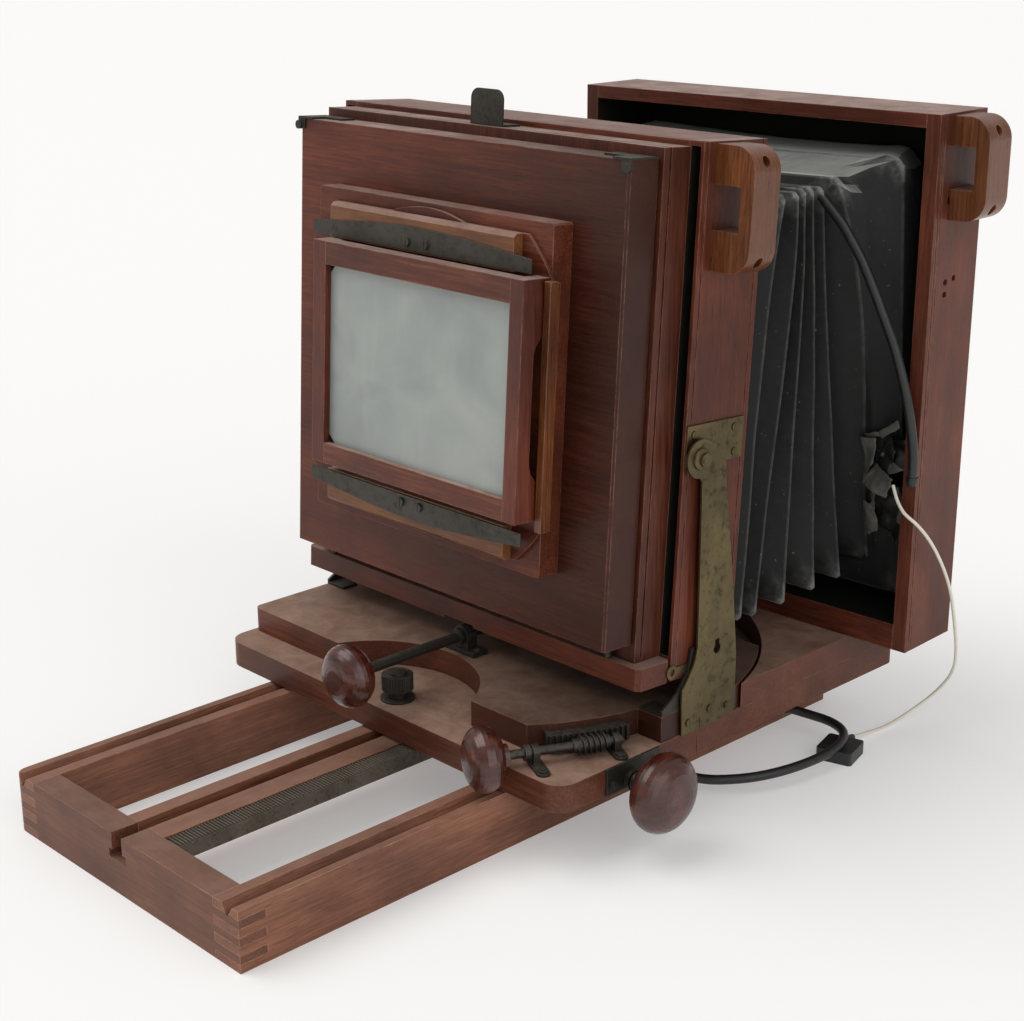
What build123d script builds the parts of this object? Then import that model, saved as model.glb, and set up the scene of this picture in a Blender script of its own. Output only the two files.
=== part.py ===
"""Studio plate camera standing on its grooved bed, seen as an assembly of separate pieces.

Millimetres, +Z up. The origin is on the underside of the bed, straight below the point where
the swing axis (vertical) and the tilt axis (across the camera) cross. +X is to the right of
someone who stands behind the camera, and +Y points from the back towards the lens.
"""
import os
from math import ceil, cos, pi, radians, sin, tan

from build123d import *

# ---- driving dimensions -------------------------------------------------------------------
BED_HALF = 164.3          # half width of the bed
BED_NEAR = -441.0
BED_FAR = 285.0
BED_H = 53.8
RAIL_W = 32.4             # side rails
CROSS_W = 26.0            # cross-pieces
FINGERS = 7               # finger joint layers
GROOVE_X = 150.0          # V-grooves the carriage runs in
GROOVE_DEPTH = 10.0
GROOVE_HALF = 7.0
SLOT_X = -2.0             # T-slot
SLOT_HALF = 7.5
RACK_X0, RACK_X1 = 28.0, 46.0
RACK_Z0 = 38.0

MODULE = 1.0              # focusing rack and pinion
PINION_TEETH = 20
PINION_Y = -79.0
PINION_Z = 62.0

BOARD_HALF = 230.7        # base board
BOARD_NEAR, BOARD_FAR = -165.0, 307.0
BOARD_Z0, BOARD_Z1 = 56.0, 80.9
TABLE_Z0, TABLE_Z1 = 81.0, 105.0
TABLE_HALF = 229.5
TABLE_NEAR = -131.4
TABLE_CHORD = 148.0       # far edge of the swinging table
TABLE_ARC = 237.6
PLATFORM_ARC = 240.3
CLAMP_Y = -139.0

WORM_ANGLE = -26.03       # direction of the worm from the swing axis, degrees
WORM_R = 226.0            # distance from the swing axis to the worm's axis
WORM_Z = 92.0
FOOT_T = 2.4              # worm bracket feet
WORM_PITCH = 5.0
WORM_ROOT, WORM_TIP = 6.0, 8.5
SECTOR_INNER = 206.06
SECTOR_ROOT, SECTOR_TIP = 217.0, 219.6
SECTOR_PITCH_R = 218.4

TILT_Z = 330.0            # height of the tilt axis
TILT_NOW = 3.23           # the back stands tilted this far forwards, degrees
TILT_SHAFT_Z = 121.0
ARM_T = 2.2

FRAME_HALF = 225.0        # deep rear frame
FRAME_Y0, FRAME_Y1 = -12.8, 67.0
FRAME_Z0, FRAME_Z1 = 132.0, 590.5
FRAME_WALL = 16.0
MIDDLE_HALF = 211.1
MIDDLE_Y0 = -44.7
PANEL_HALF = 207.4
PANEL_Y0 = -80.4
PANEL_Z0, PANEL_Z1 = 168.3, 576.9
BACK_Z = 372.6            # centre height of the revolving back
SQUARE_HALF = 149.5
SQUARE_Y0 = -102.5
DISC_Y0 = -106.0
RAIL_Y0 = -116.0
HUB_R = 146.0

GLASS_X0, GLASS_X1 = -117.0, 151.0
GLASS_Z0, GLASS_Z1 = 276.5, 479.5
GLASS_Y0, GLASS_Y1 = -135.8, -106.4

FRONT_X0, FRONT_X1 = -110.2, 289.9
FRONT_Y0, FRONT_Y1 = 217.9, 294.3
FRONT_Z0, FRONT_Z1 = 105.0, 599.1
FRONT_TURN = 2.42         # the front box stands turned this far, degrees
FRONT_PIVOT_Y = 293.0
TONGUE_Y = 262.0
LENS_X = (FRONT_X0 + FRONT_X1) / 2
LENS_Z = (FRONT_Z0 + FRONT_Z1) / 2

HOSE_R = 4.5
WIRE_R = 1.6
FLOOR_HOSE = [(181, 15, 24), (194, 25, 18), (209, 36.6, 13.5), (226, 49, 13.5), (249.8, 76.1, 16),
              (263.2, 117.4, 17.3), (266, 166.6, 17.5), (252.9, 202.9, 17.5), (228.8, 215, 18.5),
              (201.2, 205.5, 22), (188.4, 198, 25)]
HANGING_TUBE = [(223.8, 193.8, 501.5), (230.5, 196, 490.6), (239.6, 199, 475.6), (249.4, 202, 456),
                (263.6, 208, 420.6), (273.2, 212, 396.3), (281, 216, 367.9), (286.6, 218, 345.6),
                (291.2, 220.5, 318.3), (293.8, 222, 296), (293.6, 222, 279)]
WHITE_WIRE = [(272.3, 224, 266.4), (277.8, 222, 255.7), (284, 220, 249), (290.6, 219, 243.2),
              (299.5, 224, 236), (303.5, 240, 219), (304, 262, 192), (303, 284, 158),
              (302.6, 296, 122), (301, 306, 90), (293, 318, 64), (276, 333, 40), (261, 330, 19.5),
              (252.5, 304, 7), (250, 273, 2.2), (247, 246, 3.2), (246.5, 222, 6.5)]

REAR = Location((0, 0, TILT_Z), (-TILT_NOW, 0, 0)) * Location((0, 0, -TILT_Z))
FRONT = Location((0, FRONT_PIVOT_Y, 0), (0, 0, FRONT_TURN)) * Location((0, -FRONT_PIVOT_Y, 0))


# ---- helpers ------------------------------------------------------------------------------
def save(shape, node):
    """Write one node's solid or group of solids."""
    export_step(shape, f"parts/{node}.step")


def block(x0, x1, y0, y1, z0, z1):
    """Box between two corners."""
    return Pos((x0 + x1) / 2, (y0 + y1) / 2, (z0 + z1) / 2) * Box(x1 - x0, y1 - y0, z1 - z0)


def rod(start, direction, radius, length):
    """Cylinder from a start point along a direction."""
    plane = Plane(origin=start, z_dir=direction)
    return extrude(plane * Circle(radius), length)


def ring(start, direction, outer, inner, length):
    """Tube from a start point along a direction."""
    return rod(start, direction, outer, length) - rod(start, direction, inner, length)


def turned(start, direction, outline):
    """Solid turned from (distance along, radius) points about a line, with smooth sides."""
    profile = Plane.XZ * make_face(Polyline([(0, outline[0][0])] + [(r, s) for s, r in outline]
                                            + [(0, outline[-1][0]), (0, outline[0][0])]))
    solid = revolve(profile, Axis.Z)
    return Plane(origin=start, z_dir=direction).location * solid


def knob(start, direction, radius, length):
    """Mushroom knob: a narrow neck behind, a full rim and a domed face."""
    outline = [(0, 0.36 * radius), (0.12 * length, 0.34 * radius)]
    for step in range(13):
        turn = radians(-62 + step * 150 / 12)
        outline.append((0.56 * length + 0.44 * length * sin(turn), radius * (0.30 + 0.70 * cos(turn))))
    outline.append((length, 0.05 * radius))
    return turned(start, direction, outline)


def wood_screws(places, direction, radius, height):
    """Round-head screws with a slot, one solid at each place."""
    heads = []
    for place in places:
        plane = Plane(origin=place, z_dir=direction)
        head = extrude(plane * Circle(radius), height)
        slot = plane.location * Pos(0, 0, height) * Box(2 * radius, 0.9, height)
        heads.append(head - slot)
    return Compound(heads)


def side_plate(points, x0, x1):
    """Plate with an outline in the YZ plane, between two X values."""
    face = make_face(Polyline(points + [points[0]]))
    return Pos(x0, 0, 0) * extrude(Plane.YZ * face, x1 - x0)


def mirrored(shape):
    """The same piece on the other side of the camera."""
    return mirror(shape, Plane.YZ)


def corner_cutter(x, y, radius, z0, z1):
    """What a rounded vertical corner at (x, y) loses; the centre of the board is at (0, 0)."""
    sx = 1 if x > 0 else -1
    sy = 1 if y > 0 else -1
    inner_x, inner_y = x - sx * radius, y - sy * radius
    square = block(min(x, inner_x), max(x, inner_x), min(y, inner_y), max(y, inner_y), z0, z1)
    return square - rod((inner_x, inner_y, z0), (0, 0, 1), radius, z1 - z0)


# ---- bed ----------------------------------------------------------------------------------
def groove(x):
    """V-groove along the whole bed at x."""
    points = [(x - GROOVE_HALF, BED_H), (x, BED_H - GROOVE_DEPTH), (x + GROOVE_HALF, BED_H)]
    face = make_face(Polyline(points + [points[0]]))
    return Pos(0, BED_FAR + 1, 0) * extrude(Plane.XZ * face, BED_FAR - BED_NEAR + 2)


def t_slot():
    """T-slot, open at the near end."""
    upper = block(SLOT_X - SLOT_HALF, SLOT_X + SLOT_HALF, BED_NEAR - 1, BED_FAR - CROSS_W, 38, BED_H + 1)
    lower = block(SLOT_X - 12.5, SLOT_X + 12.5, BED_NEAR - 1, BED_FAR - CROSS_W, 30, 38.5)
    return upper + lower


def finger_blocks(side, near, odd):
    """The finger joint's layers at one corner of the bed."""
    x_in, x_out = BED_HALF - RAIL_W, BED_HALF
    y0, y1 = (BED_NEAR, BED_NEAR + CROSS_W) if near else (BED_FAR - CROSS_W, BED_FAR)
    layer = BED_H / FINGERS
    blocks = []
    for index in range(FINGERS):
        if index % 2 == odd:
            piece = block(x_in, x_out, y0, y1, index * layer, (index + 1) * layer)
            blocks.append(piece if side > 0 else mirrored(piece))
    return blocks


def make_bed():
    grooves = [groove(GROOVE_X), groove(-GROOVE_X)]
    rounding = corner_cutter(-BED_HALF, BED_NEAR, 12, 0, BED_H)
    rails = []
    for side in (-1, 1):
        rail = block(BED_HALF - RAIL_W, BED_HALF, BED_NEAR + CROSS_W, BED_FAR - CROSS_W, 0, BED_H)
        rail = rail if side > 0 else mirrored(rail)
        for near in (True, False):
            for finger in finger_blocks(side, near, 0):
                rail += finger
        rails.append(rail - grooves - rounding)
    save(Compound(rails), "bed_side_rails")
    for name, near in (("bed_cross_near", True), ("bed_cross_far", False)):
        y0 = BED_NEAR if near else BED_FAR - CROSS_W
        cross = block(-BED_HALF + RAIL_W, BED_HALF - RAIL_W, y0, y0 + CROSS_W, 0, BED_H)
        for side in (-1, 1):
            for finger in finger_blocks(side, near, 1):
                cross += finger
        cross = cross - grooves - rounding
        save(cross - t_slot() if near else cross, name)
    y0, y1 = BED_NEAR + CROSS_W, BED_FAR - CROSS_W
    center = block(-25, RACK_X0, y0, y1, 24, BED_H) - block(18, RACK_X0, y0, y1, 24, RACK_Z0 - 4)
    inner = BED_HALF - RAIL_W
    save(center - t_slot() + block(-inner, inner, -16, 16, 0, 24), "bed_center_rail")
    save(focus_rack(y0, y1), "focus_rack")


def focus_rack(y0, y1):
    """Iron rack along the bed, with a gap between teeth straight below the pinion."""
    pitch = pi * MODULE
    pitch_z = PINION_Z - MODULE * PINION_TEETH / 2
    tip_z, root_z = pitch_z + 0.9 * MODULE, pitch_z - 1.25 * MODULE
    slope = tan(radians(20))
    first = PINION_Y - (ceil((PINION_Y - y0) / pitch) - 1.5) * pitch
    points = [(y0, RACK_Z0), (y0, root_z)]
    tooth = first
    while tooth + pitch < y1:
        half_tip = pitch / 4 - 0.9 * MODULE * slope - 0.08
        half_root = pitch / 4 + 1.25 * MODULE * slope - 0.08
        points += [(tooth - half_root, root_z), (tooth - half_tip, tip_z),
                   (tooth + half_tip, tip_z), (tooth + half_root, root_z)]
        tooth += pitch
    points += [(y1, root_z), (y1, RACK_Z0)]
    return side_plate(points, RACK_X0, RACK_X1)


# ---- carriage -----------------------------------------------------------------------------
def make_carriage():
    board = block(-BOARD_HALF, BOARD_HALF, BOARD_NEAR, BOARD_FAR, BOARD_Z0, BOARD_Z1)
    for x in (-BOARD_HALF, BOARD_HALF):
        board -= corner_cutter(x, BOARD_NEAR, 20, BOARD_Z0, BOARD_Z1)
        board -= corner_cutter(x, BOARD_FAR, 10, BOARD_Z0, BOARD_Z1)
    board -= rod((SLOT_X, CLAMP_Y, BOARD_Z0), (0, 0, 1), 7.5, 30)
    board -= block(18, 49, PINION_Y - 14, PINION_Y + 14, BOARD_Z0, 75.5)
    board -= block(49, BOARD_HALF, PINION_Y - 8, PINION_Y + 8, BOARD_Z0, 70)
    board -= rod((0, 0, BOARD_Z0), (0, 0, 1), 7.9, 30)
    board -= rod((0, 0, BOARD_Z0), (0, 0, 1), 14, 6)
    board -= block(BOARD_HALF - 1.2, BOARD_HALF, 7.4, 8.4, BOARD_Z0, BOARD_Z1)
    save(board, "base_board")

    half = GROOVE_HALF - 0.6
    points = [(GROOVE_X - 11, BOARD_Z0), (GROOVE_X - 11, BED_H + 0.4), (GROOVE_X - half, BED_H + 0.4),
              (GROOVE_X - 0.6, BED_H - GROOVE_DEPTH + 1.6), (GROOVE_X + 0.6, BED_H - GROOVE_DEPTH + 1.6),
              (GROOVE_X + half, BED_H + 0.4), (GROOVE_X + 11, BED_H + 0.4), (GROOVE_X + 11, BOARD_Z0)]
    face = make_face(Polyline(points + [points[0]]))
    runner = Pos(0, BOARD_FAR - 25, 0) * extrude(Plane.XZ * face, BOARD_FAR - BOARD_NEAR - 45)
    save(Compound([runner, mirrored(runner)]), "carriage_runners")

    platform = block(-BOARD_HALF, BOARD_HALF, 60, BOARD_FAR, BOARD_Z1, TABLE_Z1)
    platform -= rod((0, 0, BOARD_Z1), (0, 0, 1), PLATFORM_ARC, 40)
    for x in (-BOARD_HALF, BOARD_HALF):
        platform -= corner_cutter(x, BOARD_FAR, 10, BOARD_Z1, TABLE_Z1)
    platform += block(40, 100, TONGUE_Y - 7, TONGUE_Y + 13, TABLE_Z1 - 1, TABLE_Z1 + 8)
    save(platform, "front_platform")

    pivot = turned((0, 0, BOARD_Z0 + 2), (0, 0, 1), [(0, 14), (4, 14), (4, 7.9), (49.5, 7.9)])
    save(pivot, "swing_pivot")
    nut = block(SLOT_X - 11, SLOT_X + 11, CLAMP_Y - 16, CLAMP_Y + 16, 30.6, 37.4)
    save(nut - rod((SLOT_X, CLAMP_Y, 30), (0, 0, 1), 5.05, 10), "clamp_nut")

    plate = block(BOARD_HALF, BOARD_HALF + 2.4, PINION_Y - 31, PINION_Y + 35, BOARD_Z0 + 0.4, BOARD_Z1)
    plate += rod((BOARD_HALF, PINION_Y, PINION_Z), (1, 0, 0), 9.5, 6)
    plate -= rod((BOARD_HALF - 1, PINION_Y, PINION_Z), (1, 0, 0), 5.06, 12)
    inner = block(52, 66, PINION_Y - 7.6, PINION_Y + 7.6, BOARD_Z0 + 0.2, 69.8)
    inner -= rod((40, PINION_Y, PINION_Z), (1, 0, 0), 5.06, 40)
    save(Compound([plate, inner]), "pinion_bearings")
    spots = [(BOARD_HALF + 2.4, PINION_Y - 24, 65), (BOARD_HALF + 2.4, PINION_Y + 27, 70)]
    washer = ring((SLOT_X, CLAMP_Y, BOARD_Z1), (0, 0, 1), 16, 5.06, 2)
    feet = [worm_point(-50, 22, BOARD_Z1 + FOOT_T), worm_point(23, 13, BOARD_Z1 + FOOT_T)]
    screws = [wood_screws(spots, (1, 0, 0), 3.6, 1.4), wood_screws(feet, (0, 0, 1), 3.6, 1.6)]
    save(Compound(screws + [washer]), "board_fasteners")


def make_clamp():
    top = (SLOT_X, CLAMP_Y, 31.5)
    stem = turned(top, (0, 0, 1), [(0, 5), (51.6, 5), (51.6, 9), (57, 9.5), (59, 9.5)])
    head = Plane(origin=(SLOT_X, CLAMP_Y, 90.4)).location * extrude(knurled(14.6, 36), 15)
    cap = rod((SLOT_X, CLAMP_Y, 105.4), (0, 0, 1), 8.5, 2.2)
    save(stem + head + cap, "clamp_screw")


def knurled(radius, teeth):
    """Round outline with coarse knurling."""
    points = []
    for index in range(2 * teeth):
        turn = pi * index / teeth
        reach = radius if index % 2 else radius - 0.9
        points.append((reach * cos(turn), reach * sin(turn)))
    return make_face(Polyline(points + [points[0]]))


# ---- pinion -------------------------------------------------------------------------------
def make_pinion():
    start = (29.5, PINION_Y, PINION_Z)
    gear = Plane(origin=start, x_dir=(0, 1, 0), z_dir=(1, 0, 0)).location * extrude(pinion_outline(), 15)
    shaft = rod((22, PINION_Y, PINION_Z), (1, 0, 0), 5, 232)
    collar = rod((238, PINION_Y, PINION_Z), (1, 0, 0), 8.5, 4)
    save(shaft + gear + collar, "pinion_shaft")
    grip = knob((245, PINION_Y, PINION_Z), (1, 0, 0), 35.5, 43)
    save(grip - rod((220, PINION_Y, PINION_Z), (1, 0, 0), 5, 34), "focus_knob")


def pinion_outline():
    """Twenty slim teeth, one of them pointing straight down."""
    pitch_r = MODULE * PINION_TEETH / 2
    points = []
    for index in range(PINION_TEETH):
        middle = -pi / 2 + 2 * pi * index / PINION_TEETH
        for radius, half in ((pitch_r - 1.15, 1.02), (pitch_r, 0.66), (pitch_r + 0.9, 0.28)):
            points.append((radius, middle - half / radius))
        for radius, half in ((pitch_r + 0.9, 0.28), (pitch_r, 0.66), (pitch_r - 1.15, 1.02)):
            points.append((radius, middle + half / radius))
    corners = [(r * cos(a), r * sin(a)) for r, a in points]
    return make_face(Polyline(corners + [corners[0]]))


# ---- worm ---------------------------------------------------------------------------------
def worm_frame():
    """Where the worm's middle is, which way its axis points and which way is outwards."""
    angle = radians(WORM_ANGLE)
    outwards = (cos(angle), sin(angle), 0)
    along = (-sin(angle), cos(angle), 0)
    return (WORM_R * outwards[0], WORM_R * outwards[1], WORM_Z), along, outwards


def worm_point(distance, out=0.0, z=WORM_Z):
    """Point at a distance along the worm's axis, moved outwards, at a height."""
    middle, along, outwards = worm_frame()
    return tuple(m + distance * a + out * o for m, a, o in zip(middle[:2], along, outwards)) + (z,)


def worm_local(shape):
    """Place a shape modelled along Z, starting at the worm's middle, with +X outwards."""
    middle, along, outwards = worm_frame()
    return Plane(origin=middle, x_dir=outwards, z_dir=along).location * shape


def make_worm():
    turns = 5
    height = turns * WORM_PITCH
    path = Pos(0, 0, -height / 2) * Helix(WORM_PITCH, height, WORM_ROOT - 0.4)
    start = path @ 0
    inner, outer = WORM_ROOT - 0.4, WORM_TIP
    plane = Plane(origin=start, x_dir=(1, 0, 0), z_dir=(0, 1, 0))
    profile = plane * make_face(Polyline((0, -1.3), (outer - inner, -0.55), (outer - inner, 0.55),
                                         (0, 1.3), (0, -1.3)))
    thread = sweep(profile, path=path, is_frenet=True)
    from_end = (Align.CENTER, Align.CENTER, Align.MIN)
    core = Pos(0, 0, -height / 2 - 4) * Cylinder(WORM_ROOT, height + 8, align=from_end)
    shaft = Pos(0, 0, -80) * Cylinder(4, 80 + height / 2 + 16, align=from_end)
    collar = Pos(0, 0, -60) * Cylinder(7, 5, align=from_end)
    save(worm_local(core + thread + shaft + collar), "worm_shaft")
    along = worm_frame()[1]
    back = tuple(-a for a in along)
    grip = knob(worm_point(-74.6), back, 29, 37)
    save(grip - rod(worm_point(-60), back, 4, 20), "swing_knob")

    down = WORM_Z - BOARD_Z1
    brackets = []
    for distance, out in ((-50, 22), (23, 13)):
        ear = Pos(0, 0, distance - 3) * Cylinder(6.4, 6, align=(Align.CENTER, Align.CENTER, Align.MIN))
        ear += block(-6.4, 6.4, 0, down, distance - 3, distance + 3)
        ear += block(-6.4, out, down - FOOT_T, down, distance - 6, distance + 6)
        pad = rod(worm_point(distance, out, BOARD_Z1), (0, 0, 1), 6, FOOT_T)
        bracket = worm_local(ear) + pad
        brackets.append(bracket - rod(worm_point(-90), along, 4.06, 150))
    save(Compound(brackets), "worm_brackets")


# ---- swinging table -----------------------------------------------------------------------
def make_table():
    height = TABLE_Z1 - TABLE_Z0
    near = block(-TABLE_HALF, TABLE_HALF, TABLE_NEAR, 0, TABLE_Z0, TABLE_Z1)
    far = block(-TABLE_HALF, TABLE_HALF, 0, TABLE_CHORD, TABLE_Z0, TABLE_Z1)
    far = far & rod((0, 0, TABLE_Z0), (0, 0, 1), TABLE_ARC, height)
    board = near + far
    board -= rod((-4, -172, TABLE_Z0), (0, 0, 1), 101, height)
    corner = block(150, 240, -140, -38.7, TABLE_Z0, TABLE_Z1)
    corner -= rod((0, 0, TABLE_Z0), (0, 0, 1), 206, height)
    board -= corner
    board -= corner_cutter(-TABLE_HALF, TABLE_NEAR, 8, TABLE_Z0, TABLE_Z1)
    board -= rod((0, 0, TABLE_Z0), (0, 0, 1), 7.98, height)
    save(board, "swing_table")
    save(sector_rack(), "swing_rack")

    arm = make_arm()
    save(Compound([arm, mirrored(arm)]), "tilt_arms")
    spots = [(BOARD_HALF + ARM_T, y, z) for y, z in ((-6.5, 91), (21.7, 96), (45, 92))]
    right = wood_screws(spots, (1, 0, 0), 3.8, 1.2)
    bearing_screws = wood_screws([(-16, -57, 110), (16, -57, 110)], (0, 0, 1), 3.4, 1.4)
    save(Compound([right, mirrored(right), bearing_screws]), "table_screws")

    gusset = side_plate([(-38, 105), (-8, 105), (2.5, 126), (3.5, 158), (-0.5, 158), (-5, 137),
                         (-18, 121), (-38, 110)], 226.6, 229.4)
    gusset += block(204, 228, -38, -20, 105, 107.5)
    save(Compound([gusset, mirrored(gusset)]), "arm_brackets")

    bearing = block(-21, 21, -66, -48, TABLE_Z1, 110)
    bearing += block(-10, 10, -63, -51, 108, TILT_SHAFT_Z)
    bearing += rod((0, -63, TILT_SHAFT_Z), (0, 1, 0), 10, 12)
    save(bearing - rod((0, -80, TILT_SHAFT_Z), (0, 1, 0), 5.06, 60), "tilt_bearing")


def sector_rack():
    """Toothed strip that follows a circle round the swing axis, in mesh with the worm."""
    z0, z1 = 85.0, 99.0
    pitch_angle = WORM_PITCH / SECTOR_PITCH_R
    middle = radians(WORM_ANGLE)
    points = []
    count = 7
    for index in range(-count, count + 1):
        centre = middle + (index + 0.5) * pitch_angle
        for radius, half in ((SECTOR_ROOT, 0.95), (SECTOR_TIP, 0.5)):
            points.append((radius, centre - half / radius))
        for radius, half in ((SECTOR_TIP, 0.5), (SECTOR_ROOT, 0.95)):
            points.append((radius, centre + half / radius))
    first = middle + (-count - 0.2) * pitch_angle
    last = middle + (count + 1.2) * pitch_angle
    inner = [(SECTOR_INNER, last - (last - first) * k / 12) for k in range(13)]
    corners = [(r * cos(a), r * sin(a)) for r, a in [(SECTOR_ROOT, first)] + points
               + [(SECTOR_ROOT, last)] + inner]
    return Pos(0, 0, z0) * extrude(make_face(Polyline(corners + [corners[0]])), z1 - z0)


def make_arm():
    """Brass arm: a round head at the tilt axis, a waist and a wide foot."""
    points = [(-4, 318), (2.5, 309), (3, 240), (3, 158), (-1, 144), (-9, 132), (-16, 124), (-16.4, 110),
              (-15.6, 81.1), (52, 81.1), (55.4, 84.5), (55.6, 139), (50, 190), (45, 228), (34, 303),
              (32, 326), (24, 338), (8, 345)]
    arm = side_plate(points, BOARD_HALF, BOARD_HALF + ARM_T)
    arm += rod((BOARD_HALF, 0, TILT_Z), (1, 0, 0), 17, ARM_T)
    arm -= rod((BOARD_HALF - 1, 0, TILT_Z), (1, 0, 0), 6.06, 6)
    slot = block(BOARD_HALF - 1, 240, 26, 32, 150, 160) + rod((BOARD_HALF - 1, 29, 151), (1, 0, 0), 4.6, 6)
    slot += rod((BOARD_HALF - 1, 29, 156), (1, 0, 0), 3, 6)
    notch = block(BOARD_HALF - 1, 240, 7.4, 8.4, 81, 92)
    return arm - slot - notch


def make_tilt_screw():
    shaft = rod((0, -186, TILT_SHAFT_Z), (0, 1, 0), 5, 208)
    shaft += rod((0, -68, TILT_SHAFT_Z), (0, 1, 0), 8, 4)
    save(shaft, "tilt_shaft")
    grip = knob((0, -176, TILT_SHAFT_Z), (0, -1, 0), 29, 38)
    save(grip - rod((0, -186, TILT_SHAFT_Z), (0, 1, 0), 5, 20), "tilt_knob")


# ---- rear standard ------------------------------------------------------------------------
def make_rear():
    inner = FRAME_HALF - FRAME_WALL
    beads = [block(inner, FRAME_HALF + 1, y, y + 1.4, FRAME_Z0 + 6, FRAME_Z1) & side_skin()
             for y in (FRAME_Y0 + 5, FRAME_Y1 - 6.4)]
    side = block(inner, FRAME_HALF, FRAME_Y0, FRAME_Y1, FRAME_Z0, FRAME_Z1) - beads
    side -= block(MIDDLE_HALF + 0.4, FRAME_HALF - 3.5, FRAME_Y0, FRAME_Y0 + 22, FRAME_Z0 + 22, FRAME_Z1 - 4)
    save(REAR * Compound([side, mirrored(side)]), "rear_frame_sides")
    top = block(-inner, inner, FRAME_Y0, FRAME_Y1, FRAME_Z1 - FRAME_WALL, FRAME_Z1)
    top -= block(-inner, inner, FRAME_Y0 + 5, FRAME_Y0 + 6.4, FRAME_Z1 - 1.2, FRAME_Z1)
    bottom = block(-inner, inner, FRAME_Y0, FRAME_Y1, FRAME_Z0, FRAME_Z0 + FRAME_WALL)
    save(REAR * Compound([top, bottom]), "rear_frame_rails")
    ledge = block(-FRAME_HALF, FRAME_HALF, -54, FRAME_Y0, 131.5, 151.5)
    ledge = chamfer(ledge.edges().filter_by(Axis.Z), 4)
    save(REAR * (ledge - block(-20, 20, -55, -40, 131, 134)), "rear_ledge")

    middle = block(-MIDDLE_HALF, MIDDLE_HALF, MIDDLE_Y0, FRAME_Y0, 151.5, 585.7)
    middle -= block(-190, 190, MIDDLE_Y0, FRAME_Y0, 180, 560)
    bead = block(-MIDDLE_HALF, MIDDLE_HALF, MIDDLE_Y0 + 7, MIDDLE_Y0 + 9, 155, 585.7)
    bead -= block(-MIDDLE_HALF + 2, MIDDLE_HALF - 2, MIDDLE_Y0 + 7, MIDDLE_Y0 + 9, 155, 583.7)
    save(REAR * (middle - bead), "middle_frame")

    panel = block(-PANEL_HALF, PANEL_HALF, PANEL_Y0, MIDDLE_Y0, PANEL_Z0, PANEL_Z1)
    panel -= rod((0, PANEL_Y0, BACK_Z), (0, 1, 0), 141, 50)
    save(REAR * chamfer(panel.edges().filter_by(Axis.Z), 2), "back_panel")
    save(REAR * raised_square(), "raised_square")

    clips = []
    for shape in (block(166, 209, -82, -50, PANEL_Z1, PANEL_Z1 + 1.8),
                  block(200, 209.2, -82.2, PANEL_Y0, 568, PANEL_Z1 + 1.8)
                  + rod((207, -84.4, 571), (0, 1, 0), 4, 4)):
        clips.append(shape)
    clip = (clips[0] + clips[1]) - block(166, 190, -84, -66, PANEL_Z1, PANEL_Z1 + 3)
    pins = [rod((x, -50, 151.5), (0, 0, 1), 3.5, PANEL_Z0 - 151.5) for x in (-188, 185)]
    save(REAR * Compound([clip, mirrored(clip)] + pins), "panel_fittings")

    plate = block(FRAME_HALF, FRAME_HALF + 2, FRAME_Y0, 60, 320, 358)
    plate -= block(FRAME_HALF, FRAME_HALF + 2, 40, 61, 300, 322)
    studs = plate + rod((FRAME_HALF + 2, 0, TILT_Z), (1, 0, 0), 11, 3.4)
    studs += rod((FRAME_HALF + 4, 0, TILT_Z), (1, 0, 0), 6, 10)
    cap = turned((BOARD_HALF + ARM_T + 0.4, 0, TILT_Z), (1, 0, 0), [(0, 10), (1.6, 9.4), (3.2, 5)])
    cap -= rod((BOARD_HALF, 0, TILT_Z), (1, 0, 0), 6, 8)
    spots = [(FRAME_HALF + 2, y, z) for y, z in ((-4, 350), (48, 350), (50, 328))]
    right = wood_screws(spots, (1, 0, 0), 3.4, 1.0)
    save(REAR * Compound([cap, mirrored(cap), right, mirrored(right)]), "pivot_nuts")

    lug = block(FRAME_HALF, FRAME_HALF + 1.4, FRAME_Y0, 10, 136, 144)
    lug += rod((FRAME_HALF, FRAME_Y0 + 1, 140), (1, 0, 0), 6.5, 1.4)
    lug -= rod((FRAME_HALF - 1, FRAME_Y0 + 1, 140), (1, 0, 0), 3, 4)
    save(REAR * Compound([studs, mirrored(studs), lug, mirrored(lug)]), "pivot_plates")

    nut = block(-16, 16, -8, 20, 109.5, FRAME_Z0) - block(-6, 6, -9, 21, 112.5, 129.8)
    save(REAR * nut, "tilt_nut")
    grip = hand_grip(FRAME_HALF, 265, 3.2, 36, 486, 589)
    save(REAR * grip, "rear_grips")


def side_skin():
    """Thin outer layer of the deep frame's side, where beads are cut."""
    return block(FRAME_HALF - 1.2, FRAME_HALF + 1, FRAME_Y0, FRAME_Y1, FRAME_Z0, FRAME_Z1)


def raised_square():
    """Square block on the back panel that the revolving back turns in."""
    z0, z1 = BACK_Z - SQUARE_HALF, BACK_Z + SQUARE_HALF
    square = block(-SQUARE_HALF, SQUARE_HALF, SQUARE_Y0, PANEL_Y0, z0, z1)
    square = chamfer(square.edges().filter_by(Axis.Y), 1.5)
    return square - rod((0, SQUARE_Y0, BACK_Z), (0, 1, 0), HUB_R + 0.06, 30)


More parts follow.
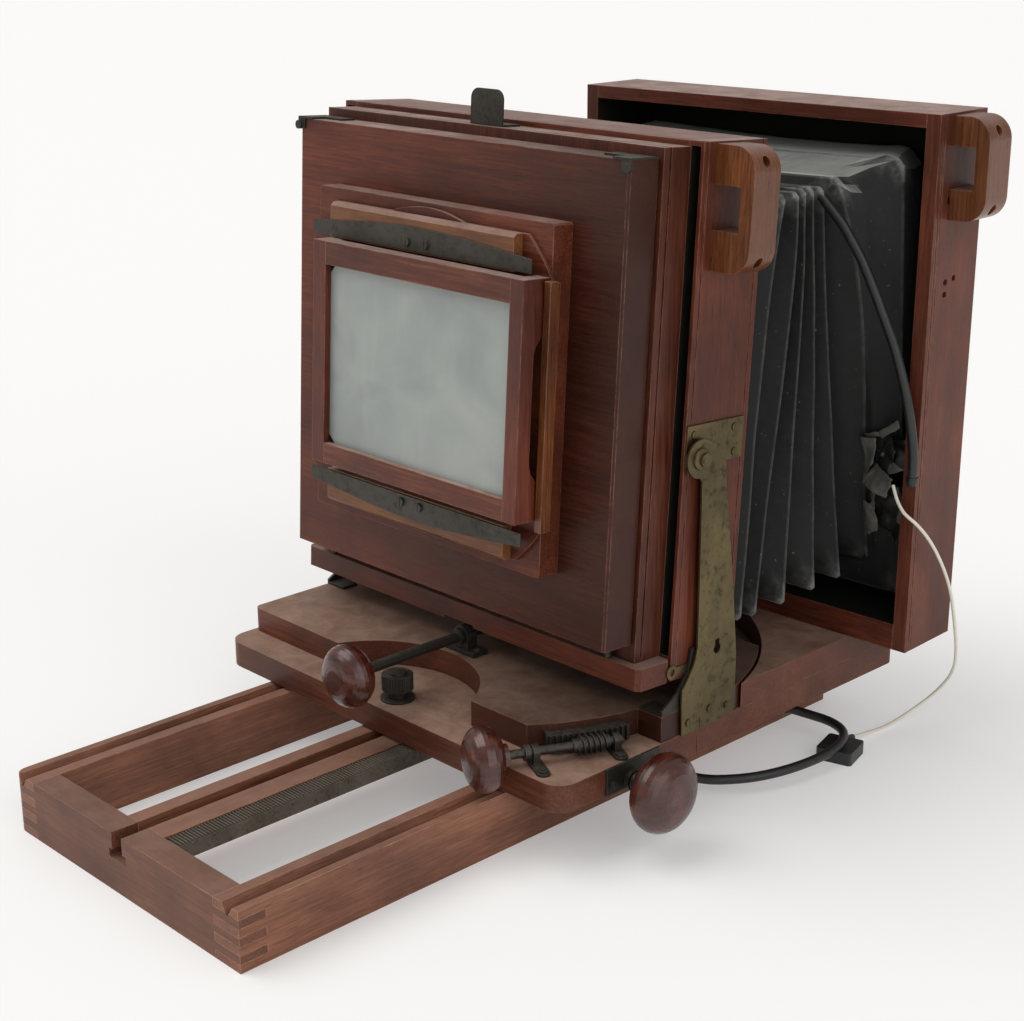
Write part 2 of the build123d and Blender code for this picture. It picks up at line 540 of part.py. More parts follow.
def hand_grip(x0, x1, y0, y1, z0, z1):
    """D-shaped hand grip on two feet, open for the fingers between them, with two screw holes."""
    profile = Plane.XZ * Pos((x0 + x1) / 2, (z0 + z1) / 2) * Rectangle(x1 - x0, z1 - z0)
    solid = Pos(0, y1, 0) * extrude(profile, y1 - y0)
    outer = [e for e in solid.edges().filter_by(Axis.Y) if e.center().X > (x0 + x1) / 2]
    solid = fillet(outer, 21)
    solid -= block(x0, x1 - 13, y0, y1, (z0 + z1) / 2 - 18, (z0 + z1) / 2 + 19)
    middle = (y0 + y1) / 2
    for z in (z0 + 10, z1 - 12):
        solid -= rod((x0 + 8, middle, z), (1, 0, 0), 4.6, x1 - x0)
    return solid


def make_catch():
    plate = block(-20, 20, -38, -18, 585.8, 587.5)
    tab = block(-20, 20, -39.8, -38, 585.8, 617)
    top = [e for e in tab.edges().filter_by(Axis.Y) if e.center().Z > 600]
    save(REAR * (plate + fillet(top, 9)), "top_catch")


# ---- revolving back -----------------------------------------------------------------------
def make_revolving_back():
    disc = rod((0, DISC_Y0, BACK_Z), (0, 1, 0), 186, 3.2)
    disc = disc & block(-153, 153, DISC_Y0 - 1, DISC_Y0 + 5, BACK_Z - 138.5, BACK_Z + 138.5)
    disc += ring((0, DISC_Y0, BACK_Z), (0, 1, 0), HUB_R, 138.5, 22)
    disc -= block(-120, 120, DISC_Y0 - 1, DISC_Y0 + 40, BACK_Z - 84, BACK_Z + 84)
    save(REAR * disc, "revolving_disc")
    rails = []
    for side in (-1, 1):
        low, high = sorted((BACK_Z + side * 107.5, BACK_Z + side * 138.5))
        bar = block(-118, 118, RAIL_Y0, DISC_Y0, low, high)
        edge = [e for e in bar.edges().filter_by(Axis.X)
                if e.center().Y < RAIL_Y0 + 1 and abs(e.center().Z - BACK_Z) > 120]
        rails.append(chamfer(edge, 3))
    save(REAR * Compound(rails), "disc_rails")
    guide = block(153, 160, RAIL_Y0 + 2, DISC_Y0, BACK_Z - 105, BACK_Z + 105)
    guide += block(153, 160, DISC_Y0, DISC_Y0 + 3.2, BACK_Z - 104, BACK_Z + 104)
    save(REAR * guide, "disc_guides")
    spots = [(x, RAIL_Y0 - 1.3, BACK_Z + side * 116) for x in (-12, 12) for side in (-1, 1)]
    springs = [leaf_spring(1), leaf_spring(-1), wood_screws(spots, (0, -1, 0), 4, 2)]
    save(REAR * Compound(springs), "back_springs")


def leaf_spring(side):
    """Flat spring, straight along the glass frame and arched on its outer edge."""
    points = [(-140, 109), (140, 109), (140, 121)]
    for step in range(1, 12):
        x = 140 - 280 * step / 12
        points.append((x, 121 + 8.5 * cos(x / 140 * pi / 2) ** 1.2))
    points.append((-140, 121))
    points = [(x, BACK_Z + side * z) for x, z in points]
    face = Plane.XZ * make_face(Polyline(points + [points[0]]))
    return Pos(0, RAIL_Y0, 0) * extrude(face, 1.3)


def make_glass_frame():
    z0, z1 = GLASS_Z0, GLASS_Z1
    stiles = []
    for x0, x1, inner in ((GLASS_X0, GLASS_X0 + 17, GLASS_X0 + 17), (GLASS_X1 - 15, GLASS_X1, GLASS_X1 - 15)):
        stile = block(x0, x1, GLASS_Y0, GLASS_Y1, z0, z1)
        points = [(GLASS_Y1 + 1, 440), (GLASS_Y1, 440), (GLASS_Y1 - 13, 424), (GLASS_Y1 - 15, 416),
                  (GLASS_Y1 - 15, 326), (GLASS_Y1 - 13, 318), (GLASS_Y1, 302), (GLASS_Y1 + 1, 302)]
        stile -= side_plate(points, x0, x1)
        stile -= block(inner - 3.2, inner + 3.2, -129.2, -124.8, z0 + 10, z1 - 10)
        stiles.append(stile)
    save(REAR * Compound(stiles), "glass_frame_stiles")
    x0, x1 = GLASS_X0 + 17, GLASS_X1 - 15
    rails = []
    for low, high, face in ((z1 - 20.5, z1, z1 - 20.5), (z0, z0 + 19, z0 + 19)):
        rail = block(x0, x1, GLASS_Y0, GLASS_Y0 + 16, low, high)
        rails.append(rail - block(x0, x1, -129.2, -124.8, face - 3.2, face + 3.2))
    save(REAR * Compound(rails), "glass_frame_rails")
    low, high = z0 + 19 - 3, z1 - 20.5 + 3
    sheet = Plane.XZ * Pos((x0 + x1) / 2, (low + high) / 2) * Rectangle(x1 - x0 + 5.8, high - low)
    sheet = Pos(0, -125, 0) * extrude(chamfer(sheet.vertices(), 13), 3.8)
    save(REAR * sheet, "ground_glass")


# ---- front box ----------------------------------------------------------------------------
def make_front():
    x0, x1, y0, y1, z0, z1 = FRONT_X0, FRONT_X1, FRONT_Y0, FRONT_Y1, FRONT_Z0, FRONT_Z1
    bead = [block(x1 - 1.2, x1 + 1, y0 + 5, y0 + 6.4, z0, z1)]
    bead.append(block(x1 - 1.2, x1 + 1, y0 + 9, y0 + 9.8, z0, z1))
    right = block(x1 - 14, x1, y0, y1, z0, z1) - bead
    for y, z in ((241, 524), (243, 451), (257, 453), (243, 440)):
        right -= rod((x1 - 8, y, z), (1, 0, 0), 4.2 if z > 500 else 3.4, 10)
    save(FRONT * Compound([right, block(x0, x0 + 14, y0, y1, z0, z1)]), "front_box_sides")
    top = block(x0 + 14, x1 - 14, y0, y1, z1 - 12, z1)
    bottom = block(x0 + 14, x1 - 14, y0, y1, z0, z0 + 25)
    bottom -= block(x0 + 14, x1 - 14, TONGUE_Y - 13, TONGUE_Y + 13, z0, z0 + 10)
    save(FRONT * Compound([top, bottom]), "front_box_rails")
    panel = block(x0 + 14, x1 - 14, y1 - 13, y1 - 1, z0 + 25, z1 - 12)
    save(FRONT * (panel - rod((LENS_X, y1 - 20, LENS_Z), (0, 1, 0), 58, 30)), "front_panel")
    board = block(LENS_X - 95, LENS_X + 95, y1 - 1, y1 + 9, LENS_Z - 95, LENS_Z + 95)
    board = chamfer(board.edges().filter_by(Axis.Y), 4)
    save(FRONT * (board - rod((LENS_X, y1 - 10, LENS_Z), (0, 1, 0), 49.5, 30)), "lens_board")
    flange = turned((LENS_X, y1 + 9, LENS_Z), (0, 1, 0), [(0, 66), (3, 66), (5, 58), (9, 56)])
    flange -= rod((LENS_X, y1, LENS_Z), (0, 1, 0), 49.5, 40)
    save(FRONT * flange, "lens_flange")
    outline = [(-14, 49), (70, 49), (73, 52), (80, 52), (83, 49), (104, 49), (106, 55), (119, 56)]
    barrel = turned((LENS_X, y1, LENS_Z), (0, 1, 0), outline)
    barrel -= rod((LENS_X, y1 - 20, LENS_Z), (0, 1, 0), 45, 160)
    save(FRONT * barrel, "lens_barrel")
    glasses = []
    for y, side in ((y1 + 96, 1), (y1 - 6, -1)):
        outline = [(0, 44.8), (6, 44.8), (9, 36), (11, 22), (12, 6)]
        glasses.append(turned((LENS_X, y, LENS_Z), (0, side, 0), outline))
    save(FRONT * Compound(glasses), "lens_glasses")
    grip = hand_grip(x1, x1 + 35.5, 240, 276, 507, 597)
    save(FRONT * grip, "front_grips")


def make_bellows():
    """Soft skin from inside the deep frame to the front panel, hollow and left unpleated here."""
    ends = [(REAR, 60, -207, 207, 152, 560), (Location(), 190, -122, 212, 146, 562),
            (Location(), 214, -88, 228, 140, 566), (FRONT, FRONT_Y1 - 13, -86, 244, 136, 570)]
    skins = []
    for inset in (0, 4):
        faces = [skin_face(*end, inset) for end in ends]
        skins.append(loft(faces, ruled=True))
    save(skins[0] - skins[1], "bellows")


def skin_face(place, y, x0, x1, z0, z1, inset):
    """Upright rectangle at y, seen along the lens axis."""
    sketch = Pos((x0 + x1) / 2, (z0 + z1) / 2) * Rectangle(x1 - x0 - 2 * inset, z1 - z0 - 2 * inset)
    return place * Pos(0, y, 0) * (Plane.XZ * sketch)


# ---- tubes and wire -----------------------------------------------------------------------
def cord(points, radius):
    """Round cord on straight runs joined by the largest tangent arcs the runs allow."""
    corners = [Vector(*p) for p in points]
    radii = []
    for a, b, c in zip(corners, corners[1:], corners[2:]):
        half_turn = radians((b - a).get_angle(c - b)) / 2
        radii.append(0.45 * min((b - a).length, (c - b).length) / tan(half_turn))
    path = FilletPolyline(*corners, radius=radii)
    print("arc radii", [round(r, 1) for r in radii], "length", round(path.length, 1))
    solid = sweep(Plane(origin=path @ 0, z_dir=path % 0) * Circle(radius), path=path)
    print("volume ratio", round(solid.volume / (pi * radius ** 2 * path.length), 4))
    return solid


def make_cords():
    save(cord(FLOOR_HOSE, HOSE_R), "floor_hose")
    save(cord(HANGING_TUBE, HOSE_R), "hanging_tube")
    save(cord(WHITE_WIRE, WIRE_R), "white_wire")
    unions = []
    for end, inner in ((FLOOR_HOSE[0], FLOOR_HOSE[1]), (FLOOR_HOSE[-1], FLOOR_HOSE[-2])):
        back = (Vector(*end) - Vector(*inner)).normalized()
        nipple = rod(end, back, 5.5, 9)
        foot = Vector(*end) + back * 8
        unions.append(nipple + rod((foot.X, foot.Y, foot.Z - 3), (0, 0, 1), 4.5, BOARD_Z0 - foot.Z + 3))
    save(Compound(unions), "hose_unions")
    direction = (Vector(*HANGING_TUBE[-1]) - Vector(*HANGING_TUBE[-2])).normalized()
    save(turned(HANGING_TUBE[-1], direction, [(0, 5.4), (5, 5.4), (7.6, 4.4), (9.4, 1.8)]), "tube_end_cap")
    body = Pos(254.5, 190.6, 6.25) * Rot(0, 0, 15.5) * Box(35, 36, 12.5)
    body = chamfer(body.edges().filter_by(Axis.Z), 2)
    neck = Vector(*WHITE_WIRE[-1])
    gland = rod(WHITE_WIRE[-1], (neck - Vector(*WHITE_WIRE[-2])).normalized(), 3, 18)
    save(body + gland, "connector_block")


def main():
    os.makedirs("parts", exist_ok=True)
    make_bed()
    make_carriage()
    make_clamp()
    make_pinion()
    make_worm()
    make_table()
    make_tilt_screw()
    make_rear()
    make_catch()
    make_revolving_back()
    make_glass_frame()
    make_front()
    make_bellows()
    make_cords()


if __name__ == "__main__":
    main()
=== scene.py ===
import bpy, bmesh
from math import cos, pi, radians, sin
from mathutils import Matrix, Vector, noise


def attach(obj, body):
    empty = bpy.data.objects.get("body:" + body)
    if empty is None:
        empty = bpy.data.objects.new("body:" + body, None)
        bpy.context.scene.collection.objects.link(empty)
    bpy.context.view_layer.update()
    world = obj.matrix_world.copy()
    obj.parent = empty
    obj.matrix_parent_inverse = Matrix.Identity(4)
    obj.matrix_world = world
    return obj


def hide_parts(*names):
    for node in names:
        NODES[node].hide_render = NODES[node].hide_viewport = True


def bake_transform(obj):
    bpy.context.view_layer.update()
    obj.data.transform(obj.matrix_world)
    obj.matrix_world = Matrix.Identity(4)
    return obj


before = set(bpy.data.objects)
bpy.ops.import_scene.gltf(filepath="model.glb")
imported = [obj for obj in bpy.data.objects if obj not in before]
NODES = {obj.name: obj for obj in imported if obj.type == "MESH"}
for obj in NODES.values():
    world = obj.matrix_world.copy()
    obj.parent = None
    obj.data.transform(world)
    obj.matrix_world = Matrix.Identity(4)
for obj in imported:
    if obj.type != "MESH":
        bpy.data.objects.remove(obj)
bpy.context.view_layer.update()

MM = 0.001
REAR_LEAN = radians(-3.23)    # how far the rear standard leans
TILT_AXIS_Z = 330             # height of the axis it leans about, mm
FRONT_YAW = radians(2.42)     # how far the front box is turned
FRONT_PIVOT_Y = 293           # where along the board it is turned about, mm


# ---------------------------------------------------------------- materials
def new_material(name):
    m = bpy.data.materials.new(name)
    m.use_nodes = True
    nt = m.node_tree
    bsdf = nt.nodes["Principled BSDF"]
    return m, nt, bsdf


def ramp(nt, source, stops):
    n = nt.nodes.new("ShaderNodeValToRGB")
    els = n.color_ramp.elements
    while len(els) < len(stops):
        els.new(0.5)
    for e, (p, c) in zip(els, stops):
        e.position = p
        e.color = (*c, 1) if len(c) == 3 else c
    nt.links.new(source, n.inputs[0])
    return n.outputs[0]


def grey(nt, source, p0, v0, p1, v1):
    n = nt.nodes.new("ShaderNodeMapRange")
    n.inputs[1].default_value, n.inputs[2].default_value = p0, p1
    n.inputs[3].default_value, n.inputs[4].default_value = v0, v1
    nt.links.new(source, n.inputs[0])
    return n.outputs[0]


def math(nt, op, a, b=None, clamp=False):
    n = nt.nodes.new("ShaderNodeMath")
    n.operation = op
    n.use_clamp = clamp
    for i, v in enumerate((a, b)):
        if v is None:
            continue
        if isinstance(v, (int, float)):
            n.inputs[i].default_value = v
        else:
            nt.links.new(v, n.inputs[i])
    return n.outputs[0]


def mix(nt, fac, a, b):
    n = nt.nodes.new("ShaderNodeMix")
    n.data_type = "RGBA"
    n.clamp_result = True
    if isinstance(fac, (int, float)):
        n.inputs[0].default_value = fac
    else:
        nt.links.new(fac, n.inputs[0])
    for i, v in ((6, a), (7, b)):
        if isinstance(v, tuple):
            n.inputs[i].default_value = (*v, 1)
        else:
            nt.links.new(v, n.inputs[i])
    return n.outputs[2]


def noise_tex(nt, vector, scale, detail=4.0, rough=0.55, distortion=0.0):
    n = nt.nodes.new("ShaderNodeTexNoise")
    n.inputs["Scale"].default_value = scale
    n.inputs["Detail"].default_value = detail
    n.inputs["Roughness"].default_value = rough
    n.inputs["Distortion"].default_value = distortion
    nt.links.new(vector, n.inputs["Vector"])
    return n.outputs[0]


def mapped(nt, vector, scale, offset=(0, 0, 0)):
    n = nt.nodes.new("ShaderNodeMapping")
    n.inputs["Scale"].default_value = scale
    n.inputs["Location"].default_value = offset
    nt.links.new(vector, n.inputs["Vector"])
    return n.outputs[0]


def object_coords(nt):
    return nt.nodes.new("ShaderNodeTexCoord").outputs["Object"]


def upness(nt):
    """1 on faces that look up, 0 on upright ones."""
    geo = nt.nodes.new("ShaderNodeNewGeometry")
    sep = nt.nodes.new("ShaderNodeSeparateXYZ")
    nt.links.new(geo.outputs["True Normal"], sep.inputs[0])
    return grey(nt, sep.outputs[2], 0.55, 0, 0.95, 1)


def edge_mask(nt, radius=0.0012):
    """1 near sharp outer edges, and the rounded normal."""
    bev = nt.nodes.new("ShaderNodeBevel")
    bev.samples = 4
    bev.inputs["Radius"].default_value = radius
    geo = nt.nodes.new("ShaderNodeNewGeometry")
    dot = nt.nodes.new("ShaderNodeVectorMath")
    dot.operation = "DOT_PRODUCT"
    nt.links.new(bev.outputs[0], dot.inputs[0])
    nt.links.new(geo.outputs["True Normal"], dot.inputs[1])
    return grey(nt, dot.outputs["Value"], 0.90, 1, 0.99, 0), bev.outputs[0]


def bump(nt, height, strength, distance, base_normal=None):
    n = nt.nodes.new("ShaderNodeBump")
    n.inputs["Strength"].default_value = strength
    n.inputs["Distance"].default_value = distance
    nt.links.new(height, n.inputs["Height"])
    if base_normal is not None:
        nt.links.new(base_normal, n.inputs["Normal"])
    return n.outputs[0]


def wood(name, axis, colours, dust, wear, seed, rough=(0.34, 0.55), dust_colour=(0.44, 0.325, 0.28),
         shade=None, spec=0.28):
    """Varnished wood with its grain along an axis.

    colours are dark, middle and light. dust lies on the faces that look up, and wear shows on the edges.
    shade is (axis number, start, end, amount): painted shade that darkens from start to end along that axis.
    """
    dark, mid, light = colours
    m, nt, b = new_material(name)
    b.inputs["Specular IOR Level"].default_value = spec
    vec = object_coords(nt)
    along = {"X": (0.045, 1, 1), "Y": (1, 0.045, 1), "Z": (1, 1, 0.045)}[axis]
    broad = {"X": (0.12, 1, 1), "Y": (1, 0.12, 1), "Z": (1, 1, 0.12)}[axis]
    off = (seed, seed * 1.7, seed * 0.6)
    fibres = noise_tex(nt, mapped(nt, vec, along, off), 420, 8, 0.62, 0.15)
    figure = noise_tex(nt, mapped(nt, vec, broad, off), 26, 5, 0.55, 0.8)
    stain = noise_tex(nt, mapped(nt, vec, (1, 1, 1), off), 7.5, 5, 0.6, 0.3)
    pores = noise_tex(nt, mapped(nt, vec, along, off), 1500, 2, 0.5)
    grain = math(nt, "ADD", math(nt, "MULTIPLY", fibres, 0.62), math(nt, "MULTIPLY", figure, 0.38))
    colour = ramp(nt, grain, [(0.30, dark), (0.50, mid), (0.70, light)])
    pore = grey(nt, pores, 0.60, 0, 0.68, 1)
    colour = mix(nt, math(nt, "MULTIPLY", pore, 0.45), colour, tuple(c * 0.35 for c in dark))
    colour = mix(nt, grey(nt, stain, 0.35, 0.55, 0.62, 0), colour, tuple(c * 0.55 for c in dark))
    up = upness(nt)
    mask, soft = edge_mask(nt)
    worn = noise_tex(nt, mapped(nt, vec, (1, 1, 1), off), 55, 6, 0.7)
    chips = math(nt, "MULTIPLY", mask, grey(nt, worn, 0.40, 0.15, 0.62, 1))
    worn_colour = tuple(min(1, c * 1.5 + w) for c, w in zip(light, (0.15, 0.11, 0.09)))
    dust_noise = noise_tex(nt, mapped(nt, vec, (1, 1, 1), off), 34, 7, 0.7, 0.4)
    dusty = math(nt, "MULTIPLY", up, math(nt, "MULTIPLY", grey(nt, dust_noise, 0.32, 0.42, 0.66, 1), dust))
    colour = mix(nt, dusty, colour, dust_colour)
    # painted shade: darker from start to end along one axis, wavered by the stain noise
    if shade:
        side, start, end, low = shade
        sep = nt.nodes.new("ShaderNodeSeparateXYZ")
        nt.links.new(vec, sep.inputs[0])
        wave = math(nt, "ADD", sep.outputs[side], math(nt, "MULTIPLY", stain, 0.16))
        fall = grey(nt, wave, start, 0, end, 1)
        colour = mix(nt, math(nt, "MULTIPLY", fall, low), colour, tuple(c * 0.25 for c in dark))
    colour = mix(nt, math(nt, "MULTIPLY", chips, wear), colour, worn_colour)
    nt.links.new(colour, b.inputs["Base Color"])
    r = grey(nt, fibres, 0.3, rough[0], 0.7, rough[1])
    r = math(nt, "ADD", r, math(nt, "MULTIPLY", dusty, 0.25), clamp=True)
    nt.links.new(r, b.inputs["Roughness"])
    height = math(nt, "SUBTRACT", math(nt, "MULTIPLY", fibres, 0.6), math(nt, "MULTIPLY", pore, 0.5))
    nt.links.new(bump(nt, height, 0.28, 0.0006, soft), b.inputs["Normal"])
    return m


def metal(name, base, spots, rough, patches, metallic=1.0, scale=60, edge_gain=1.5, up_dust=0.15):
    """Tarnished metal: base colour, blotches of spots, brighter edges and a little dust on top."""
    m, nt, b = new_material(name)
    vec = object_coords(nt)
    big = noise_tex(nt, vec, scale * 0.35, 6, 0.65, 0.6)
    small = noise_tex(nt, vec, scale * 4.5, 6, 0.75, 0.2)
    fine = noise_tex(nt, vec, scale * 22, 3, 0.6)
    large_blots = grey(nt, big, 0.42, 0, 0.64, 0.6)
    blotch = math(nt, "ADD", large_blots, grey(nt, small, 0.52, 0, 0.66, 0.75), clamp=True)
    colour = mix(nt, math(nt, "MULTIPLY", blotch, patches), base, spots)
    mask, soft = edge_mask(nt, 0.0006)
    bright = tuple(min(1, c * edge_gain + 0.03) for c in base)
    colour = mix(nt, math(nt, "MULTIPLY", mask, 0.35), colour, bright)
    dust = math(nt, "MULTIPLY", grey(nt, small, 0.35, 0.2, 0.6, 1), up_dust)
    dusty = math(nt, "MULTIPLY", upness(nt), dust)
    colour = mix(nt, dusty, colour, (0.33, 0.29, 0.24))
    nt.links.new(colour, b.inputs["Base Color"])
    b.inputs["Metallic"].default_value = metallic
    r = grey(nt, small, 0.3, rough[0], 0.7, rough[1])
    r = math(nt, "ADD", r, math(nt, "MULTIPLY", blotch, 0.15), clamp=True)
    nt.links.new(r, b.inputs["Roughness"])
    height = math(nt, "ADD", math(nt, "MULTIPLY", small, 0.5), math(nt, "MULTIPLY", fine, 0.3))
    nt.links.new(bump(nt, height, 0.22, 0.0004, soft), b.inputs["Normal"])
    return m


def knob_wood(name):
    m, nt, b = new_material(name)
    vec = object_coords(nt)
    streak = noise_tex(nt, mapped(nt, vec, (0.25, 0.25, 1.0)), 160, 7, 0.62, 0.8)
    blot = noise_tex(nt, vec, 42, 5, 0.6, 0.3)
    fine = noise_tex(nt, vec, 900, 3, 0.6)
    stops = [(0.3, (0.020, 0.0035, 0.002)), (0.5, (0.060, 0.0105, 0.005)), (0.72, (0.115, 0.027, 0.013))]
    colour = ramp(nt, streak, stops)
    colour = mix(nt, grey(nt, blot, 0.5, 0, 0.68, 0.6), colour, (0.022, 0.009, 0.006))
    nt.links.new(colour, b.inputs["Base Color"])
    nt.links.new(grey(nt, blot, 0.3, 0.20, 0.7, 0.42), b.inputs["Roughness"])
    b.inputs["Coat Weight"].default_value = 0.35
    b.inputs["Coat Roughness"].default_value = 0.16
    height = math(nt, "ADD", streak, math(nt, "MULTIPLY", fine, 0.4))
    nt.links.new(bump(nt, height, 0.12, 0.0004), b.inputs["Normal"])
    return m


def cloth(name):
    """Coated bellows cloth: charcoal, greyer with dust on top, and light lines along the ridges that are
    partly wear and partly a painted highlight.
    """
    m, nt, b = new_material(name)
    vec = object_coords(nt)
    big = noise_tex(nt, vec, 14, 6, 0.6, 0.5)
    mid = noise_tex(nt, vec, 90, 6, 0.65, 0.2)
    weave = noise_tex(nt, vec, 1100, 3, 0.6)
    stops = [(0.3, (0.0075, 0.0075, 0.0078)), (0.55, (0.0125, 0.0128, 0.013)),
             (0.75, (0.020, 0.0205, 0.0205))]
    colour = ramp(nt, mid, stops)
    up = upness(nt)
    sep = nt.nodes.new("ShaderNodeSeparateXYZ")
    nt.links.new(vec, sep.inputs[0])
    bare = grey(nt, sep.outputs[1], 0.185, 0, 0.205, 1)
    pale = mix(nt, bare, (0.40, 0.405, 0.38), (0.50, 0.505, 0.47))
    dusty = math(nt, "MULTIPLY", up, grey(nt, big, 0.30, 0.65, 0.6, 1.0))
    colour = mix(nt, dusty, colour, pale)
    grey_front = math(nt, "MULTIPLY", bare, grey(nt, big, 0.3, 0.3, 0.7, 0.8))
    colour = mix(nt, math(nt, "MULTIPLY", grey_front, 0.22), colour, (0.06, 0.062, 0.060))
    # light lines on the ridges: partly rubbed wear, partly a painted highlight
    attr = nt.nodes.new("ShaderNodeAttribute")
    attr.attribute_name = "ridge"
    line = grey(nt, attr.outputs["Fac"], 0.55, 0, 0.95, 1)
    line = math(nt, "MULTIPLY", line, grey(nt, mid, 0.35, 0.35, 0.62, 1))
    colour = mix(nt, math(nt, "MULTIPLY", line, 0.8), colour, (0.085, 0.086, 0.080))
    corner = nt.nodes.new("ShaderNodeAttribute")
    corner.attribute_name = "corner"
    bright = math(nt, "MULTIPLY", corner.outputs["Fac"], grey(nt, mid, 0.38, 0.2, 0.6, 1))
    colour = mix(nt, math(nt, "MULTIPLY", bright, 0.8), colour, (0.42, 0.42, 0.39))
    speck = grey(nt, noise_tex(nt, vec, 260, 2, 0.5), 0.72, 0, 0.76, 0.7)
    colour = mix(nt, math(nt, "MULTIPLY", speck, 0.5), colour, (0.30, 0.29, 0.26))
    nt.links.new(colour, b.inputs["Base Color"])
    nt.links.new(grey(nt, mid, 0.3, 0.48, 0.7, 0.68), b.inputs["Roughness"])
    b.inputs["Sheen Weight"].default_value = 0.05
    b.inputs["Specular IOR Level"].default_value = 0.22
    height = math(nt, "ADD", math(nt, "MULTIPLY", mid, 0.7), math(nt, "MULTIPLY", weave, 0.3))
    nt.links.new(bump(nt, height, 0.30, 0.0008), b.inputs["Normal"])
    return m


def plain(name, base, second, rough, scale, bump_strength=0.1, spec=0.5):
    """Even material that wanders between two colours."""
    m, nt, b = new_material(name)
    vec = object_coords(nt)
    n1 = noise_tex(nt, vec, scale, 5, 0.6)
    n2 = noise_tex(nt, vec, scale * 0.12, 5, 0.6)
    colour = mix(nt, grey(nt, n1, 0.35, 0, 0.68, 0.55), base, second)
    colour = mix(nt, grey(nt, n2, 0.45, 0, 0.7, 0.5), colour, second)
    nt.links.new(colour, b.inputs["Base Color"])
    nt.links.new(grey(nt, n1, 0.3, rough[0], 0.7, rough[1]), b.inputs["Roughness"])
    b.inputs["Specular IOR Level"].default_value = spec
    nt.links.new(bump(nt, n1, bump_strength, 0.0005), b.inputs["Normal"])
    return m


def frosted():
    """Ground glass: a fine even grain, greenish grey, with pale clouds and streaks."""
    m, nt, b = new_material("ground_glass")
    vec = object_coords(nt)
    cloud = noise_tex(nt, mapped(nt, vec, (1, 1, 1.3)), 11, 4, 0.5, 0.6)
    grain = noise_tex(nt, vec, 2600, 2, 0.5)
    streak = noise_tex(nt, mapped(nt, vec, (1, 1, 0.12)), 60, 4, 0.6)
    stops = [(0.25, (0.24, 0.26, 0.25)), (0.55, (0.33, 0.355, 0.335)), (0.8, (0.40, 0.42, 0.385))]
    colour = ramp(nt, cloud, stops)
    colour = mix(nt, grey(nt, streak, 0.55, 0, 0.75, 0.18), colour, (0.5, 0.5, 0.46))
    nt.links.new(colour, b.inputs["Base Color"])
    nt.links.new(grey(nt, cloud, 0.3, 0.42, 0.7, 0.55), b.inputs["Roughness"])
    nt.links.new(bump(nt, grain, 0.15, 0.0003), b.inputs["Normal"])
    return m


def lens_glass():
    m, nt, b = new_material("lens_glass")
    n1 = noise_tex(nt, object_coords(nt), 40, 3)
    colour = mix(nt, grey(nt, n1, 0.3, 0, 0.7, 1), (0.010, 0.012, 0.016), (0.02, 0.022, 0.03))
    nt.links.new(colour, b.inputs["Base Color"])
    nt.links.new(grey(nt, n1, 0.3, 0.05, 0.7, 0.10), b.inputs["Roughness"])
    b.inputs["Coat Weight"].default_value = 1.0
    b.inputs["Coat Roughness"].default_value = 0.03
    return m


MAHOGANY = ((0.045, 0.0095, 0.0045), (0.125, 0.028, 0.0125), (0.205, 0.058, 0.026))
# darker mahogany for the recessed middle frame and lens board: partly painted shade, partly a darker stain
SHADED_STAINED_MAHOGANY = ((0.035, 0.008, 0.004), (0.085, 0.021, 0.010), (0.15, 0.043, 0.020))
BOX_MAHOGANY = ((0.05, 0.012, 0.006), (0.135, 0.034, 0.0165), (0.21, 0.066, 0.033))
TABLE_MAHOGANY = (MAHOGANY[0], (0.135, 0.040, 0.021), MAHOGANY[2])
BOARD_MAHOGANY = ((0.05, 0.014, 0.007), (0.125, 0.037, 0.018), (0.20, 0.07, 0.036))
BED_BROWN = ((0.10, 0.033, 0.018), (0.24, 0.095, 0.053), (0.36, 0.165, 0.095))
BED_END_BROWN = ((0.07, 0.023, 0.013), (0.175, 0.066, 0.036), (0.28, 0.12, 0.07))
FRAME_RED = ((0.045, 0.009, 0.004), (0.12, 0.026, 0.011), (0.24, 0.085, 0.036))
STILE_RED = ((0.045, 0.009, 0.004), (0.115, 0.022, 0.010), (0.19, 0.05, 0.022))
ORANGE = ((0.09, 0.026, 0.008), (0.20, 0.070, 0.022), (0.33, 0.14, 0.05))
GRIP_ORANGE = ((0.055, 0.014, 0.004), (0.145, 0.043, 0.012), (0.25, 0.09, 0.028))
BED_DUST = (0.33, 0.20, 0.15)
BRASS_YELLOW = (0.155, 0.12, 0.058)
BRASS_BROWN = (0.060, 0.050, 0.036)

PLAIN_X = wood("mahogany_x", "X", MAHOGANY, dust=0.6, wear=0.8, seed=0.3)
# back panel darker to the right: partly painted shade, partly a real stain
PANEL = wood("mahogany_panel", "X", MAHOGANY, dust=0.9, wear=0.9, seed=4.4, shade=(0, 0.0, 0.26, 0.62))
FRONT_RAILS = wood("mahogany_front_rails", "X", MAHOGANY, dust=0.9, wear=0.9, seed=12.4)
PLAIN_Z = wood("mahogany_z", "Z", MAHOGANY, dust=0.9, wear=0.8, seed=2.2)
# middle frame and lens board: partly painted shade, partly stain
MIDDLE = wood("mahogany_middle", "Z", SHADED_STAINED_MAHOGANY, dust=0.9, wear=0.8, seed=3.1)
BOX = wood("mahogany_box", "Z", BOX_MAHOGANY, dust=0.9, wear=0.8, seed=2.9)
